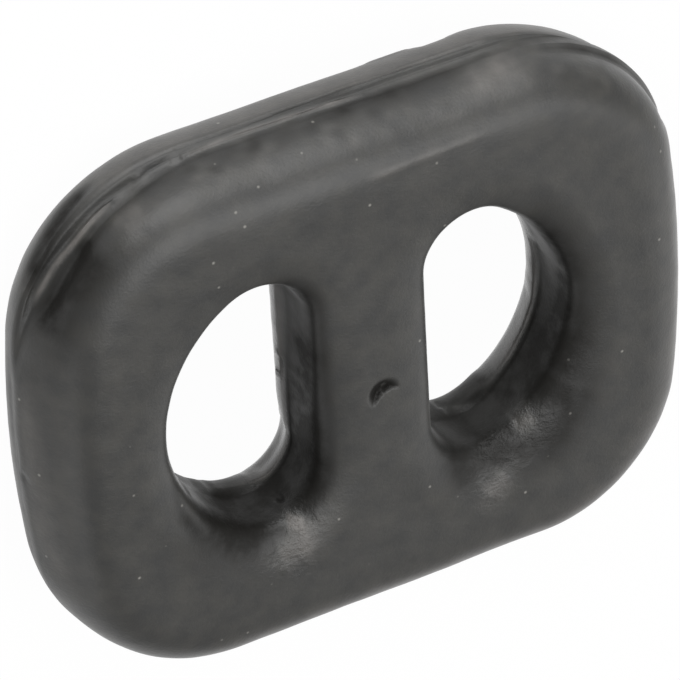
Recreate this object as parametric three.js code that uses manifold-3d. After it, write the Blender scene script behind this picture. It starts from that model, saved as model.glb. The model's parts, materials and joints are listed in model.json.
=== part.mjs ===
// Exhaust hanger rubber: one solid moulding with a bar between two D-shaped holes.
// Millimetres. It lies on its back face, +Z comes out of the front face, +X runs along its length.

import * as THREE from "three";
import { mergeVertices } from "three/addons/utils/BufferGeometryUtils.js";
import Module from "manifold-3d";

const wasm = await Module();
wasm.setup();

// Driving dimensions of the outside
const bodyLength = 63; // each moulded half, along X
const bodyWidth = 52; // each moulded half, along Y
const rearDepth = 5.4; // back face up to the parting line
const frontDepth = 6.0; // parting line up to the crest of the front face
const mismatchX = 1.0; // the front half sits this far towards +X of the rear half
const mismatchY = 1.0; // and this far towards -Y of it
const rearCornerRadius = 16.9;
const frontCornerRadius = 15.6;
const endBowRadius = 104; // the two short ends are slightly bowed
const rearShoulder = 3.4; // width of the rounding beside the back face
const frontShoulder = 5.0; // width of the rounding beside the front face
const frontShoulderPower = 2.45; // 2 is a quarter ellipse, higher is fuller
const rimCrown = 0.8; // the front face falls away by this much towards the outline
const rimCrownWidth = 7; // over this width

// Driving dimensions of the parting ridge
const ridgeHeight = 0.7;
const ridgeProud = 0.2;

// Driving dimensions of the two holes
const barWidth = 12; // rubber left between the two flat sides
const holeWidth = 13.3; // flat side to the middle of the bowed side
const holeLength = 25.1; // along the flat side, corner to corner
const holeCornerRadius = 4.5;
const neckDepth = 1.0; // the narrowest edge lies this far behind the parting line
const neckLand = 0.2;
const frontMouthFlare = 2.8;
const frontMouthPower = 5.2; // higher keeps the wall straighter before it rolls over
const mouthCrown = 0.8; // the front face falls away by this much towards a hole
const mouthCrownWidth = 4.8; // over this width
const rearMouthFlare = 4.9;

// Driving dimensions of the round ejector mark on the bar
const markRadius = 1.55;
const markDepth = 0.35; // at its deep edge, the far edge is flush
const markX = 1.0; // from the middle of the bar
const markY = -3.1;

// Facets
const cornerSteps = 11;
const bowSteps = 4;
const holeBowSteps = 14;
const holeCornerSteps = 7;
const shoulderSteps = 7;
const mouthSteps = 8;
const crownSteps = 2;

const partingZ = rearDepth;
const topZ = rearDepth + frontDepth;
const rearCentre = new THREE.Vector2(-mismatchX / 2, mismatchY / 2);
const frontCentre = new THREE.Vector2(mismatchX / 2, -mismatchY / 2);

// An outline is a chain of arcs that meet in tangents, so that moving it in or out only changes each radius.
function arc(x, y, radius, from, to, steps) {
  return { x, y, radius, from, to, steps };
}

// The points of a chain of arcs, moved outwards by offset. Each arc leaves its last point to the next one.
function pointsOf(arcs, offset, centre) {
  const points = [];
  for (const a of arcs) {
    for (let i = 0; i < a.steps; i++) {
      const angle = a.from + ((a.to - a.from) * i) / a.steps;
      points.push(
        new THREE.Vector2(
          centre.x + a.x + (a.radius + offset) * Math.cos(angle),
          centre.y + a.y + (a.radius + offset) * Math.sin(angle),
        ),
      );
    }
  }
  return points;
}

// Outer outline: straight long sides, bowed short ends, one radius at all four corners.
function bodyOutline(cornerRadius) {
  const bowX = bodyLength / 2 - endBowRadius;
  const cornerY = bodyWidth / 2 - cornerRadius;
  const cornerX = bowX + Math.sqrt((endBowRadius - cornerRadius) ** 2 - cornerY ** 2);
  const turn = Math.atan2(cornerY, cornerX - bowX);
  return [
    arc(bowX, 0, endBowRadius, -turn, turn, bowSteps),
    arc(cornerX, cornerY, cornerRadius, turn, Math.PI / 2, cornerSteps),
    arc(-cornerX, cornerY, cornerRadius, Math.PI / 2, Math.PI - turn, cornerSteps),
    arc(-bowX, 0, endBowRadius, Math.PI - turn, Math.PI + turn, bowSteps),
    arc(-cornerX, -cornerY, cornerRadius, Math.PI + turn, 1.5 * Math.PI, cornerSteps),
    arc(cornerX, -cornerY, cornerRadius, 1.5 * Math.PI, 2 * Math.PI - turn, cornerSteps),
  ];
}

// D outline of the +X hole at its neck: a flat side on the bar, two corners, one bowed side.
function holeOutline() {
  const flatX = barWidth / 2;
  const cornerX = flatX + holeCornerRadius;
  const cornerY = holeLength / 2 - holeCornerRadius;
  const rise = holeWidth - 2 * holeCornerRadius;
  const back = (cornerY ** 2 - rise ** 2) / (2 * rise);
  const bowX = cornerX - back;
  const bowRadius = flatX + holeWidth - bowX;
  const turn = Math.atan2(cornerY, back);
  return [
    arc(bowX, 0, bowRadius, -turn, turn, holeBowSteps),
    arc(cornerX, cornerY, holeCornerRadius, turn, Math.PI, holeCornerSteps),
    arc(cornerX, -cornerY, holeCornerRadius, Math.PI, 2 * Math.PI - turn, holeCornerSteps),
  ];
}

// Closed solid through a stack of rings that all have the same number of points.
function stackSolid(rings) {
  const count = rings[0].points.length;
  const position = [];
  for (const ring of rings) {
    for (const p of ring.points) {
      position.push(p.x, p.y, ring.z);
    }
  }
  const index = [];
  for (let level = 0; level + 1 < rings.length; level++) {
    for (let i = 0; i < count; i++) {
      const a = level * count + i;
      const b = level * count + ((i + 1) % count);
      index.push(a, b, b + count, a, b + count, a + count);
    }
  }
  const last = (rings.length - 1) * count;
  for (let i = 1; i + 1 < count; i++) {
    index.push(0, i + 1, i, last, last + i, last + i + 1);
  }
  const geometry = new THREE.BufferGeometry();
  geometry.setAttribute("position", new THREE.Float32BufferAttribute(position, 3));
  geometry.setIndex(index);
  return solidOf(geometry);
}

function solidOf(geometry) {
  geometry.deleteAttribute("normal");
  geometry.deleteAttribute("uv");
  const merged = mergeVertices(geometry, 1e-4);
  return new wasm.Manifold(
    new wasm.Mesh({
      numProp: 3,
      vertProperties: Float32Array.from(merged.attributes.position.array),
      triVerts: Uint32Array.from(merged.index.array),
    }),
  );
}

// Rear half: from the back face its shoulder swells along a quarter ellipse up to the parting line.
function rearHalf() {
  const outline = bodyOutline(rearCornerRadius);
  const rings = [];
  for (let i = 0; i <= shoulderSteps; i++) {
    const angle = (Math.PI / 2) * (1 - i / shoulderSteps);
    const inset = rearShoulder * (1 - Math.cos(angle));
    const z = partingZ - rearDepth * Math.sin(angle);
    rings.push({ z, points: pointsOf(outline, -inset, rearCentre) });
  }
  return stackSolid(rings);
}

// How far the crowned front face lies below its crest, at a distance from the edge that it falls to.
function crownDrop(drop, width, distance) {
  return drop * Math.max(1 - distance / width, 0) ** 2;
}

// Front half: a plug roots it in the rear half, then the parting ridge, then its shoulder and the crown.
function frontHalf() {
  const outline = bodyOutline(frontCornerRadius);
  const plugInset = 3;
  const seamOverlap = 0.1;
  const ring = (z, inset) => ({ z, points: pointsOf(outline, -inset, frontCentre) });
  const rings = [
    ring(partingZ - 1, plugInset),
    ring(partingZ - seamOverlap, plugInset),
    ring(partingZ - seamOverlap, 0),
    ring(partingZ + ridgeHeight * 0.6, 0),
    ring(partingZ + ridgeHeight, ridgeProud),
  ];
  for (let i = 2; i <= shoulderSteps; i++) {
    const angle = ((Math.PI / 2) * i) / shoulderSteps;
    const side = Math.max(Math.cos(angle), 0) ** (2 / frontShoulderPower);
    const inset = ridgeProud + (frontShoulder - ridgeProud) * (1 - side);
    const climb = frontDepth * Math.sin(angle) ** (2 / frontShoulderPower);
    rings.push(ring(partingZ + climb - crownDrop(rimCrown, rimCrownWidth, inset), inset));
  }
  for (let i = 1; i <= crownSteps; i++) {
    const inset = frontShoulder + ((rimCrownWidth - frontShoulder) * i) / crownSteps;
    rings.push(ring(topZ - crownDrop(rimCrown, rimCrownWidth, inset), inset));
  }
  return stackSolid(rings);
}

// The space of one hole: a flared rear mouth, a sharp neck, then a deep wall that rolls over into the crown.
function holeSpace(side) {
  const neckZ = partingZ - neckDepth;
  const landZ = neckZ - neckLand;
  const outline = holeOutline();
  const ring = (z, flare) => {
    const points = pointsOf(outline, flare, new THREE.Vector2(0, 0)).map(
      (p) => new THREE.Vector2(rearCentre.x + side * p.x, rearCentre.y + p.y),
    );
    if (side < 0) points.reverse();
    return { z, points };
  };
  const rings = [ring(-2, rearMouthFlare)];
  for (let i = 0; i < mouthSteps; i++) {
    const angle = (Math.PI / 2) * (1 - i / mouthSteps);
    rings.push(ring(landZ * (1 - Math.sin(angle)), rearMouthFlare * (1 - Math.cos(angle))));
  }
  rings.push(ring(landZ, 0));
  rings.push(ring(neckZ, 0));
  for (let i = 1; i <= mouthSteps; i++) {
    const angle = ((Math.PI / 2) * i) / mouthSteps;
    const climb = (topZ - neckZ) * Math.sin(angle) ** (2 / frontMouthPower);
    const flare = frontMouthFlare * (1 - Math.max(Math.cos(angle), 0) ** (2 / frontMouthPower));
    rings.push(ring(neckZ + climb - crownDrop(mouthCrown, mouthCrownWidth, flare), flare));
  }
  for (let i = 1; i <= crownSteps; i++) {
    const flare = frontMouthFlare + ((mouthCrownWidth - frontMouthFlare) * i) / crownSteps;
    rings.push(ring(topZ - crownDrop(mouthCrown, mouthCrownWidth, flare), flare));
  }
  rings.push(ring(topZ + 2, mouthCrownWidth));
  return stackSolid(rings);
}

// Round ejector mark: a disc that dips into the front face at one side and runs out flush at the other.
function markSpace() {
  const height = 2;
  const disc = new THREE.CylinderGeometry(markRadius, markRadius, height, 24);
  disc.rotateX(Math.PI / 2);
  disc.translate(0, 0, height / 2);
  const deepSide = THREE.MathUtils.degToRad(140);
  const axis = new THREE.Vector3(-Math.sin(deepSide), Math.cos(deepSide), 0);
  const tilt = Math.atan(markDepth / (2 * markRadius));
  disc.applyQuaternion(new THREE.Quaternion().setFromAxisAngle(axis, tilt));
  disc.translate(rearCentre.x + markX, rearCentre.y + markY, topZ - markDepth / 2);
  return solidOf(disc);
}

const body = rearHalf()
  .add(frontHalf())
  .subtract(holeSpace(1))
  .subtract(holeSpace(-1))
  .subtract(markSpace());

function meshOf(solid, name, material) {
  const made = solid.getMesh();
  const geometry = new THREE.BufferGeometry();
  geometry.setAttribute("position", new THREE.BufferAttribute(Float32Array.from(made.vertProperties), 3));
  geometry.setIndex(new THREE.BufferAttribute(Uint32Array.from(made.triVerts), 1));
  const mesh = new THREE.Mesh(mergeVertices(geometry, 1e-4), material);
  mesh.name = name;
  return mesh;
}

const rubber = new THREE.MeshStandardMaterial({ name: "moulded_rubber", color: 0x3d3d3b, roughness: 0.55 });

const group = new THREE.Group();
group.name = "exhaust_hanger_rubber";
group.add(meshOf(body, "hanger_body", rubber));

export default group;
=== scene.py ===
import json
import bmesh
import bpy
import numpy as np
from mathutils import Matrix, Vector

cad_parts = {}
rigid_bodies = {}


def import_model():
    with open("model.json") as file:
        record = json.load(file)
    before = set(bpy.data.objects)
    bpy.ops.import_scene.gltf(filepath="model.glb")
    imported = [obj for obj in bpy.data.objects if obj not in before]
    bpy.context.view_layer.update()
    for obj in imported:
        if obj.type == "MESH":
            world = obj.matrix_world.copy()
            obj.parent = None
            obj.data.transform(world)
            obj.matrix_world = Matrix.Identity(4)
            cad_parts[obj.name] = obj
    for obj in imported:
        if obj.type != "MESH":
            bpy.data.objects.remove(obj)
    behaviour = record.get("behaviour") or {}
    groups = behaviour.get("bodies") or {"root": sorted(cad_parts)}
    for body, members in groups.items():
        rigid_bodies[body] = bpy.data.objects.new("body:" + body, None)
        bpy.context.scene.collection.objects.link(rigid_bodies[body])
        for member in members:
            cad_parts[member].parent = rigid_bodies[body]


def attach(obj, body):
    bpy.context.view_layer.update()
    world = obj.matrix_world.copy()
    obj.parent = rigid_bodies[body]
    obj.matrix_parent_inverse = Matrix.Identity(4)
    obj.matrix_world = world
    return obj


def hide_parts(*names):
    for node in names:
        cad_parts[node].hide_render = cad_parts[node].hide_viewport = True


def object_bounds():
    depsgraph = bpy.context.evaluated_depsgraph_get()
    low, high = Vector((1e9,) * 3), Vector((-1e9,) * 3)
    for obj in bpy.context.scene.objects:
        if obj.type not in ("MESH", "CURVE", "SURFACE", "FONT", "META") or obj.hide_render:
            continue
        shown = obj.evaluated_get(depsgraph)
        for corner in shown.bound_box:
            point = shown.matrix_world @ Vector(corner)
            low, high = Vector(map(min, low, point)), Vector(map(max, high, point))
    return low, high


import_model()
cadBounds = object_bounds()
print("frame loaded")

mm = 0.001

# Sizes are millimetres in the frame of the part: it lies on its back face, +Z out of the front.
hanger = {
    "length": 63.0,
    "width": 52.0,
    "rearDepth": 5.4,
    "frontDepth": 6.0,
    "mismatch": (1.0, -1.0),        # the front half sits this far off the rear half
    "rearCornerRadius": 16.9,
    "frontCornerRadius": 15.6,
    "endBowRadius": 104.0,
    "rearShoulder": 3.4,
    "frontShoulder": 5.0,
    "frontShoulderPower": 2.45,
    "rimCrown": 0.8,                # the front face falls away by this towards the outline
    "rimCrownWidth": 7.0,
    "barWidth": 12.0,
    "holeWidth": 13.3,
    "holeLength": 25.1,
    "holeCornerRadius": 4.5,
    "neckDepth": 1.0,
    "neckLand": 0.2,
    "frontMouthFlare": 2.8,
    "frontMouthPower": 5.2,
    "mouthCrown": 0.8,              # and by this towards a hole
    "mouthCrownWidth": 4.8,
    "rearMouthFlare": 4.9,
    "mouthTaper": 0.45,             # the lower and right walls of a hole lean back by this at half height
    "lipRise": 0.7,                 # their sharp lip climbs by this at the lower right corner
    "lipTuck": 0.6,                 # at the upper right corner the shoulder is tucked in behind a thin lip
    "ledgeTuck": 0.9,               # at the upper left corner the front half stands further in
    "ledgeBead": 0.12,              # height of the flash bead along the step in that corner,
    "beadAt": 0.24,                 # how far down the step it lies,
    "beadSpread": 0.11,             # and its width, both as shares of the step
    "mouthSlump": 0.9,              # the lower and right edges of a hole sag by this more
    "mouthSlumpWidth": 6.0,
    "flushBelow": (8.5, 15.5),      # y and x between which the halves turn from flush to apart
    "flushLeft": (-26, -14),
    "lipAbove": (13.0, 14.4),       # y and x between which the lip and the ledge set in
    "ledgeAbove": (13.0, 18.0),
    "cornerFrom": (12, 22),
    "shiftFades": (0.5, 5),         # heights over the parting line between which those shifts fade out
    "lipHeights": (0.02, 0.6),      # heights over the front half's edge between which its tuck sets in
    "linePoints": 36,               # mesh points along each half of a long side
    "cornerPoints": 52,
    "bowPoints": 54,
    "outlinePoints": 1500,          # along each piece of a hole's outline, to find mesh points between
    "frontShoulderRows": 27,        # rows of mesh points
    "rearShoulderRows": 22,
    "stepRows": 19,
    "mouthRows": 26,
    "rearMouthRows": 16,
    "faceRows": 23,
    "rearFaceRows": 9,
    "barRows": (44, 50, 38),        # along the bar: above the ejector mark, closer ones across it, below
    "markEnds": (1.5, -5.5),
    "frontShoulderStart": 0.19,     # radians past upright at which a shoulder starts
    "rearShoulderStart": 0.12,
    "raysFrom": 5.0,                # rays to a hole's mesh points start this far from its flat side
}
partingZ = hanger["rearDepth"]
topZ = hanger["rearDepth"] + hanger["frontDepth"]
rearCentre = np.array([-hanger["mismatch"][0] / 2, -hanger["mismatch"][1] / 2])
frontCentre = -rearCentre
seamX = rearCentre[0]               # middle line of the bar, where the two half meshes meet

# Directions from the middle of a hole to the parts of its edge that differ from the rest
toSag = np.array([0.49, -0.87])     # leans back and sags
toLip = np.array([0.76, -0.65])     # the lip climbs
toMouthShade = np.array([0.2, -0.98])
toWallShade = np.array([0.9, -0.43])


def linearColour(hexColour):
    # sRGB hex to linear light: each channel through the sRGB curve
    value = np.array([int(hexColour[i:i + 2], 16) for i in (1, 3, 5)]) / 255
    low = value / 12.92
    high = ((value + 0.055) / 1.055) ** 2.4
    return tuple(np.where(value <= 0.04045, low, high)) + (1.0,)


# A track is an outline as four rows: centre x, centre y, radius and direction of the normal.
# A point of it is its centre plus (radius + offset) along the normal, so an offset track stays smooth.
def arcTrack(x, y, radius, start, end, count):
    t = np.arange(count) / count
    return np.stack([np.full(count, x), np.full(count, y), np.full(count, radius), start + (end - start) * t])


def lineTrack(x0, x1, y, radius, angle, count):
    t = np.arange(count) / count
    return np.stack([x0 + (x1 - x0) * t, np.full(count, y), np.full(count, radius), np.full(count, angle)])


def trackPoints(track, offset):
    # one row of points for each offset
    reach = track[2] + np.atleast_2d(offset)
    return np.stack([track[0] + reach * np.cos(track[3]), track[1] + reach * np.sin(track[3])], axis=-1)


def bodyArcs(cornerRadius):
    # centres of the upper right corner and of the right end's bow, and half the bow's angle
    size = hanger
    bowX = size["length"] / 2 - size["endBowRadius"]
    cornerY = size["width"] / 2 - cornerRadius
    cornerX = bowX + np.sqrt((size["endBowRadius"] - cornerRadius) ** 2 - cornerY ** 2)
    return cornerX, cornerY, bowX, np.arctan2(cornerY, cornerX - bowX)


def holeArcs():
    # the same for the D of the right hole, with its bow's radius. The bow touches both corners
    size = hanger
    flatX, radius = size["barWidth"] / 2, size["holeCornerRadius"]
    cornerX = flatX + radius
    cornerY = size["holeLength"] / 2 - radius
    rise = size["holeWidth"] - 2 * radius
    back = (cornerY ** 2 - rise ** 2) / (2 * rise)
    bowX = cornerX - back
    return cornerX, cornerY, bowX, np.arctan2(cornerY, back), flatX + size["holeWidth"] - bowX


def bodyTracks(cornerRadius, centre):
    # right half from the bar's foot round to its head, and left half back to the foot
    size = hanger
    cornerX, cornerY, bowX, turn = bodyArcs(cornerRadius)
    seam = seamX - centre[0]
    quarter = np.pi / 2
    nLine, nCorner, nBow = size["linePoints"], size["cornerPoints"], size["bowPoints"]
    right = [
        lineTrack(seam, cornerX, -cornerY, cornerRadius, -quarter, nLine),
        arcTrack(cornerX, -cornerY, cornerRadius, -quarter, -turn, nCorner),
        arcTrack(bowX, 0, size["endBowRadius"], -turn, turn, nBow),
        arcTrack(cornerX, cornerY, cornerRadius, turn, quarter, nCorner),
        lineTrack(cornerX, seam, cornerY, cornerRadius, quarter, nLine),
        lineTrack(seam, seam, cornerY, cornerRadius, quarter, 1),
    ]
    left = [
        lineTrack(seam, -cornerX, cornerY, cornerRadius, quarter, nLine),
        arcTrack(-cornerX, cornerY, cornerRadius, quarter, np.pi - turn, nCorner),
        arcTrack(-bowX, 0, size["endBowRadius"], np.pi - turn, np.pi + turn, nBow),
        arcTrack(-cornerX, -cornerY, cornerRadius, np.pi + turn, 3 * quarter, nCorner),
        lineTrack(-cornerX, seam, -cornerY, cornerRadius, 3 * quarter, nLine),
        lineTrack(seam, seam, -cornerY, cornerRadius, 3 * quarter, 1),
    ]
    shift = np.array([centre[0], centre[1], 0, 0])[:, None]
    return np.concatenate(right, axis=1) + shift, np.concatenate(left, axis=1) + shift


def holeTrack(side, boundary):
    # D outline, with its samples on the same rays from the hole's middle as the points of boundary
    radius, dense = hanger["holeCornerRadius"], hanger["outlinePoints"]
    cornerX, cornerY, bowX, turn, bowRadius = holeArcs()
    t = np.arange(dense) / dense
    flat = np.stack([np.full(dense, cornerX), -cornerY * t, np.full(dense, radius), np.full(dense, -np.pi)])
    fine = np.concatenate([
        flat,
        arcTrack(cornerX, -cornerY, radius, -np.pi, -turn, dense),
        arcTrack(bowX, 0, bowRadius, -turn, turn, dense),
        arcTrack(cornerX, cornerY, radius, turn, np.pi, dense),
        np.stack([flat[0], cornerY * (1 - t), flat[2], np.full(dense, np.pi)]),
    ], axis=1)
    middleX = hanger["barWidth"] / 2 + hanger["raysFrom"]
    edge = trackPoints(fine, hanger["frontMouthFlare"])[0]
    fineAngle = np.arctan2(edge[:, 1], edge[:, 0] - middleX)
    fineAngle[0] = -np.pi
    wanted = np.arctan2(boundary[:, 1] - rearCentre[1], side * (boundary[:, 0] - seamX) - middleX)
    return np.stack([np.interp(wanted, fineAngle, row) for row in fine])


def holePoints(track, offset, side):
    points = trackPoints(track, offset)
    points[..., 0] = seamX + side * points[..., 0]
    points[..., 1] += rearCentre[1]
    return points


def withHeight(points, z):
    # points of one row get that row's height, unless there is a height for each point
    heights = z if np.ndim(z) == 2 else np.broadcast_to(np.reshape(z, (-1, 1)), points.shape[:2])
    return np.concatenate([points, heights[..., None]], axis=-1)


def easedSteps(count, ease):
    # 0 to 1, with shorter steps at both ends
    t = np.linspace(0, 1, count + 1)
    return t - ease * np.sin(2 * np.pi * t) / (2 * np.pi)


def smoothStep(value, low, high):
    t = np.clip((value - low) / (high - low), 0, 1)
    return t * t * (3 - 2 * t)


def lipHeight(facing):
    # the neck's upper edge, for outward directions in rows
    neckTop = hanger["rearDepth"] - hanger["neckDepth"]
    return neckTop + hanger["lipRise"] * smoothStep(facing @ toLip, 0.6, 0.98)


def shoulderEdge(track, inset, seamPoints):
    # inner edge of a shoulder on one side of the bar, closed along the bar's middle line
    alongBar = np.stack([np.full(len(seamPoints), seamX), seamPoints], axis=-1)
    return np.concatenate([trackPoints(track, -inset)[0], alongBar])


def hangerGrids():
    size = hanger
    frontRight, frontLeft = bodyTracks(size["frontCornerRadius"], frontCentre)
    rearRight, rearLeft = bodyTracks(size["rearCornerRadius"], rearCentre)
    frontLoop = np.concatenate([frontRight[:, :-1], frontLeft[:, :-1]], axis=1)
    rearLoop = np.concatenate([rearRight[:, :-1], rearLeft[:, :-1]], axis=1)

    # Front shoulder: quarter of a superellipse up to the front face. The crown is taken off at the end
    angle = np.linspace(size["frontShoulderStart"], np.pi / 2, size["frontShoulderRows"])
    power = 2 / size["frontShoulderPower"]
    inset = size["frontShoulder"] * (1 - np.clip(np.cos(angle), 0, 1) ** power)
    height = partingZ + size["frontDepth"] * np.sin(angle) ** power
    frontBand = withHeight(trackPoints(frontLoop, -inset[:, None]), height)

    # Rear shoulder: quarter ellipse downwards
    angle = np.linspace(size["rearShoulderStart"], np.pi / 2, size["rearShoulderRows"])
    inset = size["rearShoulder"] * (1 - np.cos(angle))
    height = partingZ - size["rearDepth"] * np.sin(angle)
    rearBand = withHeight(trackPoints(rearLoop, -inset[:, None]), height)

    # The halves are flush along the lower part of the left end, where the front one swells out to the rear
    # one. At the upper right corner its shoulder is tucked in behind a thin lip along the outline
    gap = rearBand[0, :, :2] - frontBand[0, :, :2]
    x, y = frontBand[0, :, 0], frontBand[0, :, 1]
    flush = (1 - smoothStep(y, *size["flushBelow"])) * (1 - smoothStep(x, *size["flushLeft"]))
    low = 1 - smoothStep(frontBand[..., 2:], *[partingZ + over for over in size["shiftFades"]])
    frontBand[..., :2] += gap * flush[:, None] * low
    lip = smoothStep(y, *size["lipAbove"]) * smoothStep(x, *size["cornerFrom"])
    ledge = smoothStep(y, *size["ledgeAbove"]) * smoothStep(-x, *size["cornerFrom"])
    outward = np.stack([np.cos(frontLoop[3]), np.sin(frontLoop[3])], axis=-1)
    overLip = smoothStep(frontBand[..., 2:], *[frontBand[0, 0, 2] + over for over in size["lipHeights"]])
    tuck = size["lipTuck"] * lip[:, None] * overLip + size["ledgeTuck"] * ledge[:, None]
    frontBand[..., :2] -= outward * low * tuck

    # Step between the two mould halves: it falls steeply by 0.6 of its height from the front half, runs on
    # with a slight fall of 0.15, and drops by the last 0.25 at the rear half
    t = np.linspace(0, 1, size["stepRows"])[:, None, None]
    eased = smoothStep(t, 0.1, 1.0)
    down = 0.6 * smoothStep(t, 0.0, 0.45) + 0.15 * t + 0.25 * smoothStep(t, 0.7, 1.0)
    stepBand = frontBand[0] + (rearBand[0] - frontBand[0]) * np.concatenate([eased, eased, down], axis=2)

    # Where the halves are flush there is no step: a cubic curve carries the front shoulder on into the
    # rear one, with the direction that each has at its edge
    leave = frontBand[0] - frontBand[1]
    arrive = rearBand[1] - rearBand[0]
    span = np.linalg.norm(rearBand[0] - frontBand[0], axis=1)[:, None]
    leave *= span / np.linalg.norm(leave, axis=1)[:, None]
    arrive *= span / np.linalg.norm(arrive, axis=1)[:, None]
    smooth = (1 - t) ** 2 * ((1 + 2 * t) * frontBand[0] + t * leave)
    smooth = smooth + t ** 2 * ((3 - 2 * t) * rearBand[0] - (1 - t) * arrive)
    stepBand += (smooth - stepBand) * flush[:, None]

    # Flash bead along the step at the upper left corner: a bell curve across it, half outwards and half up
    bell = np.exp(-((t - size["beadAt"]) / size["beadSpread"]) ** 2)
    bead = size["ledgeBead"] * ledge[:, None] * bell * smoothStep(t, 0.0, 0.15)
    slant = 0.7
    stepBand += bead * np.concatenate([slant * outward, np.full((len(x), 1), slant)], axis=1)

    grids = [frontBand, rearBand, stepBand]

    # Points down the bar's middle line, from the head of the shoulder's inner edge to its foot
    footFront, headFront = trackPoints(frontRight, -size["frontShoulder"])[0, [0, -1], 1]
    footRear, headRear = trackPoints(rearRight, -size["rearShoulder"])[0, [0, -1], 1]
    markTop, markFoot = size["markEnds"]
    above, across, below = size["barRows"]
    seamY = np.concatenate([
        np.linspace(headFront, markTop, above)[:-1],
        np.linspace(markTop, markFoot, across)[:-1],
        np.linspace(markFoot, footFront, below),
    ])
    seamYRear = headRear + (seamY - headFront) * (footRear - headRear) / (footFront - headFront)

    for side, front, rear in ((1, frontRight, rearRight), (-1, frontLeft, rearLeft)):
        frontEdge = shoulderEdge(front, size["frontShoulder"], seamY[1:-1][::side])
        rearEdge = shoulderEdge(rear, size["rearShoulder"], seamYRear[1:-1][::side])
        track = holeTrack(side, frontEdge)
        landZ = partingZ - size["neckDepth"] - size["neckLand"]

        # Front mouth: superellipse that climbs steeply from the neck's lip and rolls over into the front
        # face. On the lower and right sides its wall leans back along a parabola, so the lip shows as an edge
        power = 2 / size["frontMouthPower"]
        angle = np.pi / 2 * easedSteps(size["mouthRows"], 0.75)
        flare = size["frontMouthFlare"] * (1 - np.clip(np.cos(angle), 0, 1) ** power)
        climb = np.sin(angle) ** power
        flare[0], climb[0], flare[-1], climb[-1] = 0, 0, size["frontMouthFlare"], 1
        facing = np.stack([side * np.cos(track[3]), np.sin(track[3])], axis=-1)
        leaning = smoothStep(facing @ toSag, -0.1, 0.5)
        lipZ = lipHeight(facing)
        climb = climb[:, None]
        lean = 4 * size["mouthTaper"] * leaning * climb * (1 - climb)
        mouth = withHeight(holePoints(track, flare[:, None] + lean, side), lipZ + (topZ - lipZ) * climb)

        # Rear mouth: quarter ellipse that opens towards the back face
        angle = np.linspace(0, np.pi / 2, size["rearMouthRows"])
        flare = size["rearMouthFlare"] * (1 - np.cos(angle))
        rearMouth = withHeight(holePoints(track, flare[:, None], side), landZ * (1 - np.sin(angle)))

        land = np.stack([mouth[0], rearMouth[0]])

        # Flat faces: straight rays from the mouth's edge to the shoulder's edge or the bar's middle line
        ray = np.linspace(0, 1, size["faceRows"])[:, None, None]
        frontFace = mouth[-1] * (1 - ray) + withHeight(frontEdge[None], topZ) * ray
        ray = np.linspace(0, 1, size["rearFaceRows"])[:, None, None]
        rearFace = rearMouth[-1] * (1 - ray) + withHeight(rearEdge[None], 0.0) * ray
        grids += [mouth, rearMouth, land, frontFace, rearFace]
    return grids


def addObject(name, data):
    made = bpy.data.objects.new(name, data)
    bpy.context.scene.collection.objects.link(made)
    return made


def gridMesh(name, grids):
    # every grid is closed along its rows; shared edges are merged afterwards
    points, faces, base = [], [], 0
    for grid in grids:
        rows, columns = grid.shape[:2]
        index = base + np.arange(rows * columns).reshape(rows, columns)
        right = np.roll(index, -1, axis=1)
        quads = np.stack([index[:-1], right[:-1], right[1:], index[1:]], axis=-1)
        faces.append(quads.reshape(-1, 4))
        points.append(grid.reshape(-1, 3))
        base += rows * columns
    mesh = bpy.data.meshes.new(name)
    mesh.from_pydata((np.concatenate(points) * mm).tolist(), [], np.concatenate(faces).tolist())
    made = bmesh.new()
    made.from_mesh(mesh)
    bmesh.ops.remove_doubles(made, verts=made.verts, dist=0.002 * mm)
    bmesh.ops.recalc_face_normals(made, faces=made.faces)
    made.to_mesh(mesh)
    made.free()
    return addObject(name, mesh)


def waves(points, wavelength, count, seed):
    # sum of sine waves that run in random directions, scaled to about -1 to 1
    rng = np.random.default_rng(seed)
    direction = rng.normal(size=(count, 3))
    direction /= np.linalg.norm(direction, axis=1)[:, None]
    shortest, longest = 0.7, 1.4    # of the wavelength
    number = 2 * np.pi / (wavelength * rng.uniform(shortest, longest, count))
    phase = rng.uniform(0, 2 * np.pi, count)
    total = np.zeros(len(points))
    for i in range(count):
        total += np.sin(points @ direction[i] * number[i] + phase[i])
    highest = 1.6                   # about what the sum reaches, measured in its own spread
    return total / np.sqrt(count / 2) / highest


def bodyDistance(points):
    # from the front half's outline inwards: the outline is the hull of four corner discs, bows included
    size = hanger
    radius = size["frontCornerRadius"]
    cornerX, cornerY, bowX, turn = bodyArcs(radius)
    x, y = np.abs(points[:, 0] - frontCentre[0]), np.abs(points[:, 1] - frontCentre[1])
    angle = np.arctan2(y - cornerY, x - cornerX)
    corner = radius - np.hypot(x - cornerX, y - cornerY)
    straight = size["width"] / 2 - y
    bow = size["endBowRadius"] - np.hypot(x - bowX, y)
    atBow = np.arctan2(y, x - bowX) < turn
    return np.where(atBow, bow, np.where((x > cornerX) & (angle < np.pi / 2), corner, straight))


def holeDistance(points, side):
    # from the neck of one hole outwards, in the same way
    radius = hanger["holeCornerRadius"]
    cornerX, cornerY, bowX, turn, bowRadius = holeArcs()
    x, y = side * (points[:, 0] - rearCentre[0]), np.abs(points[:, 1] - rearCentre[1])
    corner = np.hypot(x - cornerX, y - cornerY) - radius
    bow = np.hypot(x - bowX, y) - bowRadius
    beyond = x > cornerX - 0.5 * (hanger["holeWidth"] - 2 * radius)
    atBow = (np.arctan2(y, x - bowX) < turn) & beyond
    return np.where(atBow, bow, np.where(y > cornerY, corner, hanger["barWidth"] / 2 - x))


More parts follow.
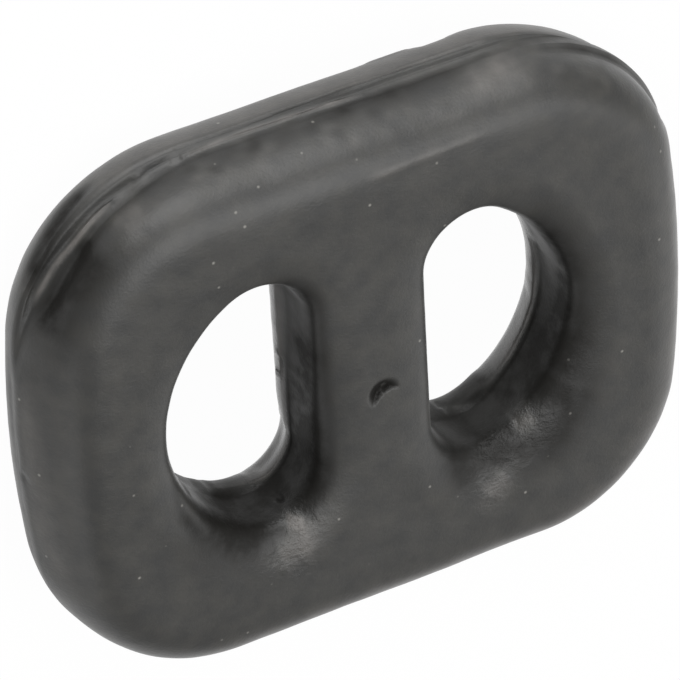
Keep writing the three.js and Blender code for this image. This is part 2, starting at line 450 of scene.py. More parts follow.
def alongTrace(points, trace):
    # distance to the nearest piece of a traced line, and a weight that falls off near both of its ends
    fadeShare, endWeight = 0.2, 0.35
    trace = np.array(trace, float)
    reach = np.concatenate([[0], np.cumsum(np.linalg.norm(np.diff(trace, axis=0), axis=1))])
    nearest, along = np.full(len(points), np.inf), np.zeros(len(points))
    for i in range(len(trace) - 1):
        step = trace[i + 1] - trace[i]
        t = np.clip((points - trace[i]) @ step / (step @ step), 0, 1)
        gap = np.linalg.norm(points - trace[i] - t[:, None] * step, axis=1)
        along = np.where(gap < nearest, reach[i] + t * (reach[i + 1] - reach[i]), along)
        nearest = np.minimum(nearest, gap)
    fade = np.clip(np.minimum(along, reach[-1] - along) / (fadeShare * reach[-1]) + endWeight, 0, 1)
    return nearest, fade


def traceSum(points, traces):
    # each line adds its amount, spread across it as a bell curve
    total = np.zeros(len(points))
    for width, amount, trace in traces:
        nearest, fade = alongTrace(points, trace)
        total += amount * fade * np.exp(-(nearest / width) ** 2)
    return total


marks = {
    "ejectorAt": (0.0, -1.55),
    "ejectorRadius": 1.6,
    "ejectorDepth": 0.55,
    "plugAt": (0.8, -3.35),         # the flush part of the mark, which leaves a crescent open
    "plugRadius": 1.92,
    "plugEdge": (-0.05, 0.1),       # the crescent's floor drops off between these, past the plug's radius,
    "crescentSlope": 1.1,           # and rises again to the outer circle over this width
    "crescentPaintedShade": 1.4,           # painted shade in the crescent,
    "crescentGain": 1.7,            # which is full where its depth times this is 1 or more
    "swell": 0.05,                  # slow unevenness of the whole surface
    "ripple": 0.012,
    "mouthPaintedShade": 0.45,             # painted shade round the lower edges of the holes
    "wallPaintedShade": 0.42,              # and on their walls
    "paintedShadeHeights": (0.1, 0.7),         # heights over the neck's lip between which that painted shade sets in
    "neckShade": 0.7,               # painted shade on the parts of the necks that nothing rubs
    "neckPaintedHighlight": 0.7,              # painted highlight that makes the rubbed parts paler
    "neckReach": 1.6,               # a neck counts up to this far from the hole's edge,
    "neckTop": (-0.05, 0.15),       # and up to its lip, with a soft end
    "rimWear": 0.35,                # painted light that makes the upper side of the rear half paler,
    "rimLightAbove": (22.0, 25.0),   # y where that sets in
    "rimWearUnder": (4.5, 5.4),     # and height where it ends
    "scuffed": 0.02,                # scuffs of the upper shoulder,
    "scuffAbove": (19.5, 22.5),     # y where they set in
    "scuffFrom": (5.5, 6.5),        # and heights where they start and end
    "scuffTo": (10.0, 11.3),
    "scuffStain": 0.12,
    "pitted": 0.035,                # rougher skin where the mouths roll over
    "pittedRadius": 2.0,
}

# Width and height of lines that stand out of the skin or are pressed into it, with the points they run
# through. They are the folds, cracks, flash and dents of this one worn moulding
reliefs = {
    "flashKnob": (0.45, 0.35, [(-18.7, 24.95, 5.8), (-18.5, 25.05, 5.8)]),
    "flashNub": (0.4, 0.3, [(-15.3, 25.5, 5.8), (-14.9, 25.55, 5.8)]),
    "flashBead": (0.22, 0.22, [
        (-14.5, 25.5, 5.6), (-12.3, 25.6, 5.35), (-9.2, 25.8, 5.25), (-3.3, 25.7, 5.35),
        (0.9, 25.5, 5.75), (2.4, 25.5, 5.8)]),
    "flashRidge": (0.3, 0.34, [
        (-20.6, 23.9, 5.8), (-22.5, 22.9, 5.7), (-23.6, 22.05, 5.7), (-24.6, 21.0, 5.8),
        (-25.5, 20.3, 5.7), (-26.9, 19.0, 5.4), (-27.9, 17.6, 5.3), (-29.0, 15.9, 5.2)]),
    "rimGroove": (0.65, -0.35, [
        (-22.4, 24.1, 3.6), (-24.1, 23.0, 3.6), (-25.4, 22.0, 3.9), (-26.4, 21.2, 4.1),
        (-27.6, 19.8, 4.5), (-28.8, 17.9, 4.8), (-29.9, 15.2, 5.1)]),
    "rimLine": (0.16, -0.14, [
        (-19.4, 25.4, 5.2), (-14.7, 26.2, 5.2), (-9.9, 26.2, 5.2), (-3.2, 26.4, 5.1), (3.9, 26.4, 4.9),
        (13.1, 26.3, 5.1), (17.9, 25.9, 5.0)]),
    "cornerHollow": (1.7, -0.4, [
        (-28.6, 14.4, 7.0), (-27.3, 17.6, 6.9), (-25.6, 19.6, 7.0), (-24.3, 20.9, 7.2)]),
    "faceCrest": (0.4, 0.12, [(-0.1, 21.3, 11.3), (5.5, 21.6, 11.2), (11.3, 21.7, 11.1)]),
    "mouthFold": (0.6, -0.15, [(-20.4, -3.6, 10.8), (-19.8, -7.0, 11.0), (-18.3, -10.3, 11.2)]),
    "mouthStreak": (0.35, 0.16, [(-18.9, -5.1, 9.2), (-17.8, -7.2, 9.2)]),
    "mouthCrack": (0.25, -0.35, [(-8.9, -11.8, 7.9), (-8.9, -12.0, 9.7)]),
    "mouthTear": (0.3, 0.18, [(-9.7, -12.0, 8.4), (-9.3, -12.2, 10.0)]),
    "wallStep": (0.35, -0.14, [(18.2, 4.4, 5.3), (18.7, 2.5, 7.0), (18.7, -1.6, 7.2), (18.2, -4.5, 7.2)]),
    "lipNotch": (0.4, -0.3, [(30.4, 13.4, 7.0), (30.5, 13.0, 7.0)]),
    "leftDing": (0.7, -0.22, [(-31.7, -0.9, 6.6), (-31.7, -1.6, 6.4)]),
    "topRecess": (0.9, -0.24, [(9.7, 25.1, 1.1), (12.9, 25.1, 1.1)]),
    "topFlash": (0.6, 0.14, [(5.0, 25.1, 1.1), (9.5, 25.1, 1.1)]),
    "tornFlash": (0.2, 0.16, [(-6.5, 1.1, 4.0), (-6.5, 0.5, 3.9)]),
    "tornFlashLow": (0.22, 0.16, [(-6.5, -1.2, 3.7), (-6.5, -2.0, 3.7)]),
    "neckWideLeft": (1.6, -0.5, [
        (-18.6, -5.6, 4.2), (-17.4, -7.6, 4.2), (-16.1, -9.3, 4.1), (-14.4, -10.7, 4.0)]),
    "neckLowLeft": (1.4, 0.25, [(-14.0, -11.0, 3.6), (-12.2, -11.9, 3.3), (-9.6, -12.1, 3.0)]),
    "neckCornerLeft": (1.3, -0.45, [
        (-9.4, -11.9, 3.0), (-8.2, -11.3, 3.0), (-7.2, -10.4, 3.0), (-6.7, -9.0, 3.0),
        (-6.5, -6.8, 3.1)]),
    "neckLowRight": (1.6, 0.38, [
        (7.6, -11.4, 2.9), (9.6, -12.2, 2.8), (12.0, -12.1, 2.7), (14.2, -10.6, 2.8)]),
    "neckBowRight": (1.6, -0.3, [
        (13.8, -10.8, 3.0), (15.2, -9.3, 3.0), (16.7, -7.4, 3.0), (18.0, -4.8, 3.0), (18.8, -1.8, 3.1)]),
    "neckCrack": (0.2, -0.3, [(8.9, -11.9, 3.5), (9.7, -11.95, 4.4)]),
}

# Painted shading, traced in the same way: width and strength of darker (above zero) and paler patches of the
# skin. The darker ones are painted shade:
# in hollows, grooves and a pit, under the flash, along the rims and shoulders, and in the walls and mouths of
# the holes. The paler ones are painted highlights and reflections: on ridges, flash, the ejector mark,
# crests, edges, shoulders, necks, walls and the rolled mouths
paintedShading = {
    "hollow": (2.1, 1.1, [
        (-29.0, 13.8, 7.6), (-28.4, 15.9, 7.9), (-26.7, 18.0, 8.2), (-25.1, 19.8, 8.5),
        (-23.4, 21.3, 8.5)]),
    "hollowDeep": (0.8, 0.5, [(-25.2, 19.7, 7.0), (-23.9, 21.2, 7.4)]),
    "markFacet": (0.3, -2.2, [(-0.05, -1.0, 11.2), (0.4, -0.8, 11.2)]),
    "cornerLip": (0.45, 0.8, [(21.5, 24.1, 7.1), (25.6, 21.3, 7.1), (28.3, 17.8, 7.1), (30.2, 13.8, 7.1)]),
    "leftRimShade": (0.9, 0.4, [
        (-31.8, 11.0, 4.0), (-31.8, 5.9, 4.4), (-31.9, -1.0, 4.9), (-31.5, -8.0, 4.9),
        (-29.8, -14.5, 4.9)]),
    "leftEdgePale": (1.0, -0.35, [
        (-31.3, 8.5, 7.6), (-31.2, 0.0, 7.7), (-30.8, -7.0, 8.0), (-29.0, -13.5, 8.0)]),
    "lowerEdgePale": (1.9, -0.6, [
        (-17.0, -24.6, 10.3), (0.0, -24.7, 10.3), (16.0, -24.4, 10.3), (24.6, -20.9, 10.2),
        (29.2, -13.5, 9.8), (30.9, -4.0, 9.6), (31.0, 5.0, 9.6), (30.2, 12.0, 9.6)]),
    "groove": (0.9, 1.6, [
        (-22.4, 24.1, 3.6), (-24.1, 23.0, 3.7), (-25.4, 22.0, 4.0), (-26.4, 21.2, 4.2),
        (-27.6, 19.8, 4.6), (-28.8, 17.9, 4.8)]),
    "ridge": (0.28, -2.2, [
        (-21.8, 23.3, 5.9), (-23.0, 22.5, 5.8), (-24.6, 21.0, 5.9), (-25.5, 20.3, 5.8),
        (-26.9, 19.0, 5.5), (-27.9, 17.6, 5.4), (-29.0, 15.9, 5.3)]),
    "underBead": (0.35, 0.5, [(-12.0, 26.1, 5.2), (-5.0, 26.2, 5.2), (1.5, 26.2, 5.2)]),
    "flashPale": (0.3, -0.8, [(-14.0, 25.5, 5.7), (-9.2, 25.8, 5.4), (-3.3, 25.7, 5.5), (2.0, 25.5, 5.9)]),
    "topShade": (0.9, 0.35, [(-19.0, 24.0, 7.5), (-12.0, 24.9, 7.4), (0.0, 25.0, 7.4), (10.0, 24.9, 7.6)]),
    "topStreak": (0.7, 0.4, [(-1.5, 25.3, 7.1), (3.0, 25.3, 6.8), (9.0, 25.2, 6.9), (12.0, 25.2, 7.3)]),
    "crestPale": (0.35, -0.5, [(-0.1, 21.3, 11.3), (5.5, 21.6, 11.2), (11.3, 21.7, 11.1)]),
    "topPale": (1.3, -0.7, [(11.5, 24.9, 8.6), (14.5, 24.8, 8.5), (16.5, 24.5, 8.0)]),
    "cornerPale": (1.6, -0.4, [(-22.0, 22.8, 9.0), (-19.8, 24.0, 8.4)]),
    "wallCoreRight": (1.2, 0.6, [
        (16.0, 9.5, 10.6), (17.9, 7.0, 10.4), (18.9, 4.4, 10.2), (19.2, 0.0, 10.0), (19.0, -4.0, 9.8),
        (17.5, -8.0, 9.8)]),
    "wallStreakRight": (0.3, -1.1, [(18.0, 5.0, 4.9), (18.6, 2.9, 6.6), (18.7, -1.8, 7.2)]),
    "wallBandLeft": (0.7, -2.4, [(-6.4, 8.8, 5.2), (-6.4, 1.0, 5.0)]),
    "wallCoreLeft": (1.8, 0.6, [(-6.1, 6.0, 9.5), (-6.1, 0.0, 9.0), (-6.1, -3.5, 8.5), (-6.3, -7.0, 9.0)]),
    "wallPit": (0.3, 5.0, [(-6.4, 2.9, 5.3), (-6.4, 2.6, 5.3)]),
    "neckFacet": (0.4, -0.9, [(-6.6, -8.4, 4.0), (-7.2, -9.9, 4.2)]),
    "neckEnd": (0.3, -0.8, [(9.0, -11.9, 3.9), (9.8, -12.0, 4.1)]),
    "mouthCreaseLeft": (0.6, 0.6, [(-20.4, -3.6, 10.8), (-19.8, -7.0, 11.0), (-18.3, -10.3, 11.2)]),
    "mouthCornerLeft": (1.0, 0.5, [(-6.4, 9.4, 10.4), (-7.4, 11.4, 10.7), (-9.3, 12.8, 10.9)]),
    "mouthStreakShade": (1.0, 0.5, [
        (-18.6, -5.3, 9.4), (-17.9, -7.0, 9.9), (-17.2, -8.3, 10.5), (-16.2, -9.7, 10.4)]),
    "mouthLeftShade": (1.5, 0.45, [(-17.4, -9.8, 11.0), (-15.2, -12.2, 11.1), (-12.0, -13.8, 11.2)]),
    "mouthPaleLeft": (0.7, -2.2, [(-9.5, -12.7, 11.0), (-8.0, -13.2, 11.2)]),
    "mouthHighlightsLeft": (1.6, -0.8, [(-11.0, -15.2, 11.2), (-7.6, -14.6, 11.2)]),
    "mouthDarkRight": (1.3, 0.45, [(6.1, -11.7, 11.2), (7.0, -13.8, 11.4), (7.8, -15.4, 11.4)]),
    "mouthDarkLeft": (1.6, 0.25, [(-14.5, -11.5, 6.3), (-11.0, -12.4, 6.3)]),
    "mouthLiftRight": (1.6, -0.35, [(10.5, -12.6, 8.0), (14.0, -11.6, 8.0)]),
    "mouthPaleRight": (1.3, -1.2, [(13.2, -11.6, 11.1), (15.4, -11.0, 11.2)]),
    "mouthHighlightsRight": (1.4, -0.8, [(11.8, -15.4, 11.3), (9.6, -17.0, 11.4)]),
    "mouthRightShade": (2.4, 0.45, [(20.0, -9.0, 11.2), (17.6, -13.0, 11.2), (15.0, -15.6, 11.2)]),
}

# Middles of the patches where the skin is pitted and shines
pittedAt = [
    (-8.8, -12.8, 11.1), (-9.6, -15.6, 11.3),
    (14.6, -11.4, 11.2), (11.6, -13.4, 11.3), (10.4, -16.4, 11.3),
]

body = gridMesh("hangerRubber", hangerGrids())
mesh = body.data
count = len(mesh.vertices)
place = np.empty(count * 3)
normal = np.empty(count * 3)
mesh.vertices.foreach_get("co", place)
mesh.vertex_normals.foreach_get("vector", normal)
place = place.reshape(-1, 3) / mm
normal = normal.reshape(-1, 3)
print("rubber body:", count, "points,", len(mesh.polygons), "faces")

# Ejector mark: a crescent between two circles, deepest along the inner one
outerReach = np.linalg.norm(place[:, :2] - np.array(marks["ejectorAt"]), axis=1)
plugReach = np.linalg.norm(place[:, :2] - np.array(marks["plugAt"]), axis=1)
onFront = place[:, 2] > topZ - 0.05
crescent = smoothStep(plugReach, *[marks["plugRadius"] + past for past in marks["plugEdge"]]) * onFront
crescent *= np.clip((marks["ejectorRadius"] - outerReach) / marks["crescentSlope"], 0, 1)
depth = marks["ejectorDepth"] * crescent

# Crown of the front face: it falls off along a parabola towards the outline and towards both holes.
# The same loop finds the polished parts of each hole and paints shade on its necks, mouth and walls
size = hanger
polished, shade = np.zeros(count), np.zeros(count)
fall = size["rimCrown"] * np.clip(1 - bodyDistance(place) / size["rimCrownWidth"], 0, 1) ** 2
for side in (1, -1):
    reach = holeDistance(place, side)
    fall += size["mouthCrown"] * np.clip(1 - reach / size["mouthCrownWidth"], 0, 1) ** 2
    away = (place[:, :2] - rearCentre) / np.array([size["holeWidth"] / 2, size["holeLength"] / 2])
    away[:, 0] -= side * (size["barWidth"] / size["holeWidth"] + 1)
    facing = away / np.linalg.norm(away, axis=1)[:, None]
    lower = smoothStep(facing @ toSag, 0.1, 0.8)
    overNeck = place[:, 2] - lipHeight(facing)
    rubbed = 0.2 + 0.8 * smoothStep(facing[:, 0], 0.1, 0.7)         # mostly the right side of a neck
    atNeck = (np.abs(reach) < marks["neckReach"]) * (1 - smoothStep(overNeck, *marks["neckTop"]))
    polished = np.maximum(polished, rubbed * atNeck)
    # Painted shade: on the lower parts of the necks that nothing rubs, round the lower edges of a hole and on
    # its walls
    shade += marks["neckShade"] * atNeck * (1 - rubbed) * (facing[:, 1] < 0)
    mouthSide = smoothStep(facing @ toMouthShade, 0.1, 0.75)
    wallSide = smoothStep(facing @ toWallShade, -0.2, 0.3)
    above = smoothStep(overNeck, *marks["paintedShadeHeights"]) * (reach > -1)
    barSide = smoothStep(-side * facing[:, 0], 0.2, 0.8)
    shadeFrom, shadeTo = 1.8 - 1.2 * barSide, 6.5 - 4.0 * barSide     # it ends sooner beside the bar
    shade += marks["mouthPaintedShade"] * mouthSide * above * (1 - smoothStep(reach, shadeFrom, shadeTo))
    shadeTo = 3.7 + 1.1 * side                                       # it ends later in the right hole
    shade += marks["wallPaintedShade"] * wallSide * above * (1 - smoothStep(reach, 0.9, shadeTo))
    fall += size["mouthSlump"] * lower * np.clip(1 - reach / size["mouthSlumpWidth"], 0, 1) ** 2
# It fades out downwards, from 2 mm over the parting line to just over the neck
depth += fall * smoothStep(place[:, 2], size["rearDepth"] - size["neckDepth"] + 0.01, size["rearDepth"] + 2.0)

# Relief of the skin along its normal, and the painted shade and painted highlights with the scuffs
swell = marks["swell"] * waves(place, wavelength=14, count=14, seed=3)
swell += marks["ripple"] * waves(place, wavelength=3, count=20, seed=5)
swell += traceSum(place, reliefs.values())
pitted = np.zeros(count)
for spot in pittedAt:
    fromSpot = np.linalg.norm(place - np.array(spot), axis=1) / marks["pittedRadius"]
    pitted = np.maximum(pitted, np.exp(-fromSpot ** 2))
swell += marks["pitted"] * pitted * waves(place, wavelength=1.6, count=24, seed=9)
# Painted light: the upper side of the rear half is made paler
litTop = smoothStep(place[:, 1], *marks["rimLightAbove"])
shade -= marks["rimWear"] * litTop * (1 - smoothStep(place[:, 2], *marks["rimWearUnder"]))
scuffs = waves(place, wavelength=1.8, count=24, seed=15) * waves(place, wavelength=6, count=12, seed=17)
scuffs *= smoothStep(place[:, 1], *marks["scuffAbove"])
scuffs *= smoothStep(place[:, 2], *marks["scuffFrom"]) * (1 - smoothStep(place[:, 2], *marks["scuffTo"]))
swell += marks["scuffed"] * scuffs
# All painted shade and painted highlights, with the scuff stains, gathered into one attribute
paintedShadingAndScuffs = traceSum(place, paintedShading.values()) + shade
paintedShadingAndScuffs += marks["scuffStain"] * scuffs
# Painted highlight on the polished necks
paintedShadingAndScuffs -= marks["neckPaintedHighlight"] * polished
# Painted shade in the ejector mark's crescent, deeper where it is deeper
paintedShadingAndScuffs += marks["crescentPaintedShade"] * np.clip(marks["crescentGain"] * crescent, 0, 1)
paintedShadingAndScuffs = np.clip(paintedShadingAndScuffs, -1, 1)
place += normal * swell[:, None]
place[:, 2] -= depth
low, high = np.array(cadBounds[0]) / mm, np.array(cadBounds[1]) / mm    # nothing leaves the CAD box
place = np.clip(place, low, high)
mesh.vertices.foreach_set("co", (place * mm).ravel())
for name, values in (("paintedShadingAndScuffs", paintedShadingAndScuffs), ("pitted", pitted), ("polished", polished)):
    mesh.attributes.new(name, "FLOAT", "POINT").data.foreach_set("value", values.astype(np.float32))
mesh.update()
mesh.shade_smooth()
mesh.set_sharp_from_angle(angle=np.radians(50))


def addNode(material, kind, settings=None, links=None):
    # settings go to sockets by name or number, or to the node itself; links are (socket, node, output)
    node = material.node_tree.nodes.new(kind)
    for key, value in (settings or {}).items():
        if isinstance(key, int) or key in node.inputs:
            node.inputs[key].default_value = value
        else:
            setattr(node, key, value)
    for socket, source, output in links or []:
        material.node_tree.links.new(source.outputs[output], node.inputs[socket])
    return node


rubberLook = {
    "colour": "#2f2f2e",
    "paleColour": "#3b3a37",
    # Colours for the painted shade and the painted highlights, which also tint the scuffs
    "shadeAndScuffColour": "#161616",
    "shadeAndScuffDullColour": "#1e1d1b",       # dull dark diffuse for the painted shade and the darker scuffs
    "highlightAndScuffColour": "#63605d",
    "dustColour": "#8c8a84",
    "patches": 0.09 / mm,           # 11 mm from a duller patch to a shinier one
    "mottle": 0.42 / mm,            # 2.4 mm from patch to patch of the colour
    "pits": 0.7 / mm,               # 1.4 mm, shallow unevenness that grows deeper in the pitted places
    "grain": 4 / mm,                # 0.25 mm, the fine skin of the mould
    "dust": 0.42 / mm,              # cells of 2.4 mm,
    "dustRare": 0.6,                # of which those over this share hold a speck
    "polish": 0.16,                 # roughness of the necks, which the hangers rub smooth
    "dull": 0.46,                   # and of the duller and shinier patches elsewhere
    "shiny": 0.38,
}


# EPDM rubber, compression moulded: near-black and satin, with a faintly mottled skin and specks of dust. The
# mesh's attribute paints shade and highlights into its colour
def mouldedRubber():
    look = rubberLook
    material = bpy.data.materials.new("mouldedEpdmRubber")
    material.use_nodes = True
    material.node_tree.nodes.clear()
    coords = addNode(material, "ShaderNodeTexCoord")
    mottle = addNode(material, "ShaderNodeTexNoise",
                     {"Scale": look["mottle"], "Detail": 5.0, "Roughness": 0.6},
                     [("Vector", coords, "Object")])
    patches = addNode(material, "ShaderNodeTexNoise", {"Scale": look["patches"], "Detail": 3.0},
                      [("Vector", coords, "Object")])
    skin = addNode(material, "ShaderNodeValToRGB", {}, [("Fac", mottle, "Fac")])
    ramp = skin.color_ramp
    ramp.elements[0].position, ramp.elements[0].color = 0.35, linearColour(look["colour"])
    ramp.elements[1].position, ramp.elements[1].color = 0.7, linearColour(look["paleColour"])

    # Painted shade and painted highlights, with the scuffs: the attribute is broken up by the mottle, darker
    # above zero and paler below
    paintedShadingValue = addNode(material, "ShaderNodeAttribute", {"attribute_name": "paintedShadingAndScuffs"})
    broken = addNode(material, "ShaderNodeMapRange",
                     {"From Min": 0.35, "From Max": 0.65, "To Min": 0.7, "To Max": 1.2},
                     [("Value", mottle, "Fac")])
    shadingBroken = addNode(material, "ShaderNodeMath", {"operation": "MULTIPLY"},
                      [(0, paintedShadingValue, "Fac"), (1, broken, "Result")])
    shadeAndScuffShare = addNode(material, "ShaderNodeMapRange", {"From Min": 0.0, "From Max": 1.0, "To Max": 0.9},
                        [("Value", shadingBroken, "Value")])
    highlightAndScuffShare = addNode(material, "ShaderNodeMapRange", {"From Min": 0.0, "From Max": -1.0, "To Max": 0.9},
                        [("Value", shadingBroken, "Value")])
    shadedAndScuffed = addNode(material, "ShaderNodeMix", {"data_type": "RGBA", 7: linearColour(look["shadeAndScuffColour"])},
                       [(0, shadeAndScuffShare, "Result"), (6, skin, "Color")])
    shadedAndLit = addNode(material, "ShaderNodeMix", {"data_type": "RGBA", 7: linearColour(look["highlightAndScuffColour"])},
                   [(0, highlightAndScuffShare, "Result"), (6, shadedAndScuffed, 2)])

    # Dust: a small pale spot where the middle of one of the chosen cells lies in the skin
    cells = addNode(material, "ShaderNodeTexVoronoi", {"Scale": look["dust"]}, [("Vector", coords, "Object")])
    chosen = addNode(material, "ShaderNodeSeparateColor", {}, [("Color", cells, "Color")])
    rare = addNode(material, "ShaderNodeMath", {"operation": "GREATER_THAN", 1: look["dustRare"]},
                   [(0, chosen, "Red")])
    spot = addNode(material, "ShaderNodeMapRange",
                   {"From Min": 0.02, "From Max": 0.08, "To Min": 0.8, "To Max": 0.0},
                   [("Value", cells, "Distance")])
    speck = addNode(material, "ShaderNodeMath", {"operation": "MULTIPLY"},
                    [(0, rare, "Value"), (1, spot, "Result")])
    colour = addNode(material, "ShaderNodeMix", {"data_type": "RGBA", 7: linearColour(look["dustColour"])},
                     [(0, speck, "Value"), (6, shadedAndLit, 2)])

    # Gloss: satin that varies from patch to patch, and polished necks
    satin = addNode(material, "ShaderNodeMapRange",
                    {"From Min": 0.3, "From Max": 0.7, "To Min": look["dull"], "To Max": look["shiny"]},
                    [("Value", patches, "Fac")])
    polishedValue = addNode(material, "ShaderNodeAttribute", {"attribute_name": "polished"})
    roughness = addNode(material, "ShaderNodeMix", {"data_type": "FLOAT", 3: look["polish"]},
                        [(0, polishedValue, "Fac"), (2, satin, "Result")])

    # Grain breaks up the highlights; pits make the places below the holes sparkle
    grain = addNode(material, "ShaderNodeTexNoise", {"Scale": look["grain"], "Detail": 3.0},
                    [("Vector", coords, "Object")])
    grainBump = addNode(material, "ShaderNodeBump", {"Strength": 0.12, "Distance": 0.2 * mm},
                        [("Height", grain, "Fac")])
    pits = addNode(material, "ShaderNodeTexNoise", {"Scale": look["pits"], "Detail": 4.0, "Roughness": 0.65},
                   [("Vector", coords, "Object")])
    pittedValue = addNode(material, "ShaderNodeAttribute", {"attribute_name": "pitted"})
    pitShare = addNode(material, "ShaderNodeMapRange", {"To Min": 0.06, "To Max": 0.75},
                       [("Value", pittedValue, "Fac")])
    bump = addNode(material, "ShaderNodeBump", {"Distance": 0.6 * mm},
                   [("Height", pits, "Fac"), ("Strength", pitShare, "Result"),
                    ("Normal", grainBump, "Normal")])

    # Sheen lifts the faces seen at a slant, as a film of dry dust does; a dull dark diffuse takes the gloss
    # away where shade is painted
    shader = addNode(material, "ShaderNodeBsdfPrincipled",
                     {"Sheen Weight": 0.22, "Sheen Roughness": 0.3, "IOR": 1.52},
                     [("Base Color", colour, 2), ("Roughness", roughness, 0), ("Normal", bump, "Normal")])
    dullShade = addNode(material, "ShaderNodeBsdfDiffuse", {"Color": linearColour(look["shadeAndScuffDullColour"])})
    dullShadeShare = addNode(material, "ShaderNodeMath", {"operation": "MULTIPLY", 1: 0.8},
                         [(0, shadeAndScuffShare, "Result")])
    surface = addNode(material, "ShaderNodeMixShader", {},
                      [(0, dullShadeShare, "Value"), (1, shader, "BSDF"), (2, dullShade, "BSDF")])
    addNode(material, "ShaderNodeOutputMaterial", {}, [("Surface", surface, "Shader")])
    return material


mesh.materials.append(mouldedRubber())
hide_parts("hanger_body")
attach(body, "root")
print("rubber finished")

# Floor: white paper, nearly white to the camera. Its diffuse colour is painted dark under the rubber, a
# painted shadow that throws back little light and keeps the walls of the holes dark. Reflections see it
# bright, apart from a painted dark ring within each hole, so that the polished necks get their dark and light
# bands
paperLook = {
    "half": 0.8,
    "under": -0.05 * mm,                # just clear of the back face
    "bodyHalf": (31 * mm, 25 * mm, 1),
    "holeHalf": (6.7 * mm, 12.6 * mm, 1),
    "holeMiddle": (12.6 * mm, 0, 0),
    "glow": 0.98,
}
floorMesh = bpy.data.meshes.new("floor")
half, under = paperLook["half"], paperLook["under"]
floorCorners = [(-half, -half, under), (half, -half, under), (half, half, under), (-half, half, under)]
floorMesh.from_pydata(floorCorners, [], [(0, 1, 2, 3)])
floor = addObject("floor", floorMesh)
paper = bpy.data.materials.new("whitePaper")
paper.use_nodes = True
paper.node_tree.nodes.clear()
lightPath = addNode(paper, "ShaderNodeLightPath")
paperGlow = addNode(paper, "ShaderNodeEmission", {"Color": (1, 1, 1, 1), "Strength": 1.0})
paperPlace = addNode(paper, "ShaderNodeTexCoord")
underScale = addNode(paper, "ShaderNodeVectorMath", {"operation": "DIVIDE", 1: paperLook["bodyHalf"]},
                     [(0, paperPlace, "Object")])
paperReach = addNode(paper, "ShaderNodeVectorMath", {"operation": "LENGTH"}, [(0, underScale, "Vector")])
# Painted shadow: the paper's diffuse colour is darker under the rubber
paperPaintedShadow = addNode(paper, "ShaderNodeMapRange",
                     {"From Min": 0.85, "From Max": 1.25, "To Min": 0.1, "To Max": 0.8},
                     [("Value", paperReach, "Value")])
paperDiffuse = addNode(paper, "ShaderNodeBsdfDiffuse", {}, [("Color", paperPaintedShadow, "Result")])

# Distance from the middle of the nearer hole, with 1 at its edge
bothHoles = addNode(paper, "ShaderNodeVectorMath", {"operation": "ABSOLUTE"}, [(0, paperPlace, "Object")])
fromHole = addNode(paper, "ShaderNodeVectorMath", {"operation": "SUBTRACT", 1: paperLook["holeMiddle"]},
                   [(0, bothHoles, "Vector")])
holeScale = addNode(paper, "ShaderNodeVectorMath", {"operation": "DIVIDE", 1: paperLook["holeHalf"]},
                    [(0, fromHole, "Vector")])
holeReach = addNode(paper, "ShaderNodeVectorMath", {"operation": "LENGTH"}, [(0, holeScale, "Vector")])
farPaper = addNode(paper, "ShaderNodeMapRange", {"From Min": 0.5, "From Max": 0.7},
                   [("Value", holeReach, "Value")])
nearPaper = addNode(paper, "ShaderNodeMapRange", {"From Min": 0.45, "From Max": 0.25},
                    [("Value", holeReach, "Value")])
openPaper = addNode(paper, "ShaderNodeMath", {"operation": "MAXIMUM"},
                    [(0, farPaper, "Result"), (1, nearPaper, "Result")])
mirrorRays = addNode(paper, "ShaderNodeMath", {"operation": "MAXIMUM"},
                     [(0, lightPath, "Is Glossy Ray"), (1, lightPath, "Is Transmission Ray")])
mirrored = addNode(paper, "ShaderNodeMath", {"operation": "MULTIPLY"},
                   [(0, mirrorRays, "Value"), (1, openPaper, "Value")])
seenRays = addNode(paper, "ShaderNodeMath", {"operation": "MAXIMUM"},
                   [(0, lightPath, "Is Camera Ray"), (1, mirrored, "Value")])
glowShare = addNode(paper, "ShaderNodeMath", {"operation": "MULTIPLY", 1: paperLook["glow"]},
                    [(0, seenRays, "Value")])
paperMix = addNode(paper, "ShaderNodeMixShader", {},
                   [(0, glowShare, "Value"), (1, paperDiffuse, "BSDF"), (2, paperGlow, "Emission")])
addNode(paper, "ShaderNodeOutputMaterial", {}, [("Surface", paperMix, "Shader")])
floorMesh.materials.append(paper)

# Light: a weak white surround, and softboxes whose power is in watts and whose size and place are in metres
world = bpy.data.worlds.new("studio")
bpy.context.scene.world = world
world.use_nodes = True
world.node_tree.nodes["Background"].inputs["Color"].default_value = (1, 1, 1, 1)
world.node_tree.nodes["Background"].inputs["Strength"].default_value = 0.33

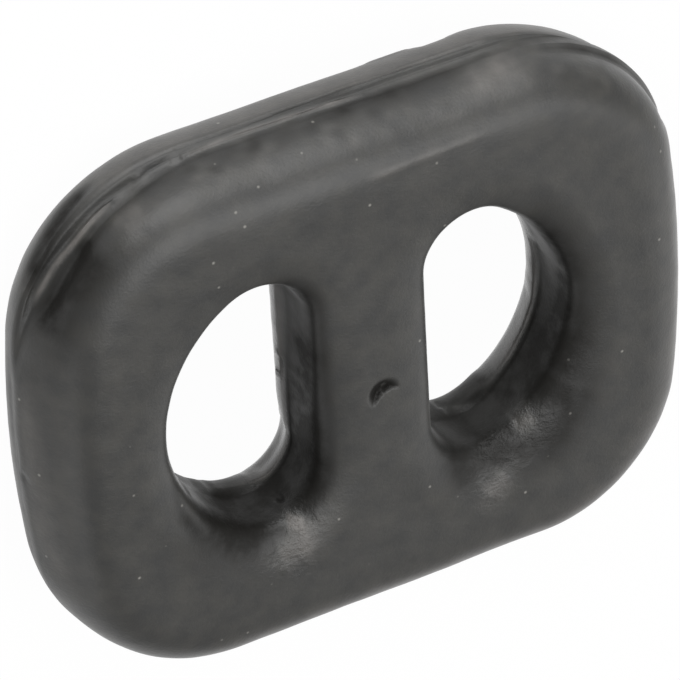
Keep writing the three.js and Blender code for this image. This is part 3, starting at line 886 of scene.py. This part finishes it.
lamps = {
    "topSoftbox": {"size": 0.52, "place": (0.1, 0.05, 0.6), "power": 2.5},
    "leftSoftbox": {"size": 0.4, "place": (-0.5, -0.45, 0.28), "power": 0.5},
    "backSoftbox": {"size": 0.42, "place": (0.0, 0.44, 0.16), "power": 2.0},
    "sideSoftbox": {"size": 0.5, "place": (0.6, -0.4, 0.36), "power": 0.85},
}
for name, lampSettings in lamps.items():
    lamp = bpy.data.lights.new(name, "AREA")
    lamp.shape = "SQUARE"
    lamp.size = lampSettings["size"]
    lamp.energy = lampSettings["power"]
    lampObject = addObject(name, lamp)
    lampObject.location = lampSettings["place"]
    lampObject.rotation_euler = (-Vector(lampObject.location)).to_track_quat("-Z", "Y").to_euler()

# Camera: looks down on the front face from its upper left
view = {
    "turn": 25.93,                  # degrees towards -X
    "rise": 37.49,                  # degrees towards +Y
    "roll": -3.49,
    "distance": 490.9,              # mm
    "slide": (-0.44, 0.05),         # mm to the right and up
    "lens": 298.9,                  # mm of focal length
}
turn, rise, roll = np.radians([view["turn"], view["rise"], view["roll"]])
back = np.array([-np.sin(turn) * np.cos(rise), np.sin(rise), np.cos(turn) * np.cos(rise)])
level = np.array([np.cos(turn), 0, np.sin(turn)])
upright = np.array([np.sin(turn) * np.sin(rise), np.cos(rise), -np.cos(turn) * np.sin(rise)])
right = np.cos(roll) * level + np.sin(roll) * upright
up = np.cos(roll) * upright - np.sin(roll) * level
aim = np.array([*rearCentre, partingZ]) + view["slide"][0] * right + view["slide"][1] * up
eye = (aim + back * view["distance"]) * mm
camera = bpy.data.cameras.new("camera")
camera.lens = view["lens"]
camera.sensor_width = 36.0
camera.clip_start, camera.clip_end = 0.01, 10.0
cameraObject = addObject("camera", camera)
cameraObject.matrix_world = Matrix([
    [right[0], up[0], back[0], eye[0]],
    [right[1], up[1], back[1], eye[1]],
    [right[2], up[2], back[2], eye[2]],
    [0, 0, 0, 1],
])
bpy.context.scene.camera = cameraObject
bpy.context.scene.view_settings.view_transform = "Standard"
print("camera and lights set")
